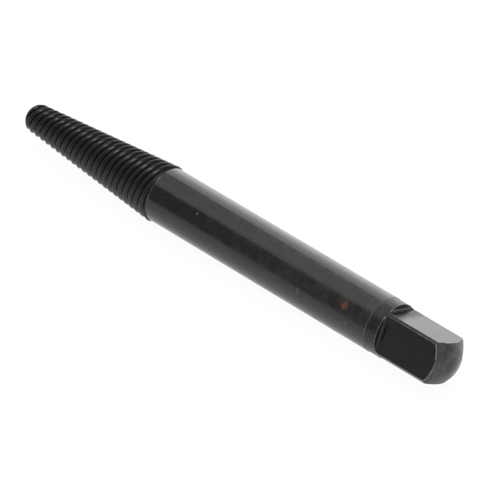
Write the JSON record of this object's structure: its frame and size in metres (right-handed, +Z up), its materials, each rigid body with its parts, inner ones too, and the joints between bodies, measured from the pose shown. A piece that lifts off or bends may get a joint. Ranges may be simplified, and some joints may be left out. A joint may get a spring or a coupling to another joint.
{
  "type": "screw extractor",
  "caption": "Tapered left-hand spiral on a round shank with a domed square drive, for turning a broken screw out of a drilled hole.",
  "frame": {"origin": "on the tool's axis, in the plane of the square's shoulders", "axes": "+X along the axis from the spiral's tip towards the square, +Z up as the tool lies on its side"},
  "size_m": [0.0682, 0.0072, 0.0072],
  "materials": {
    "black_steel": "black oxide, satin"
  },
  "bodies": {
    "root": {"screw_extractor": "black_steel"}
  },
  "joints": []
}
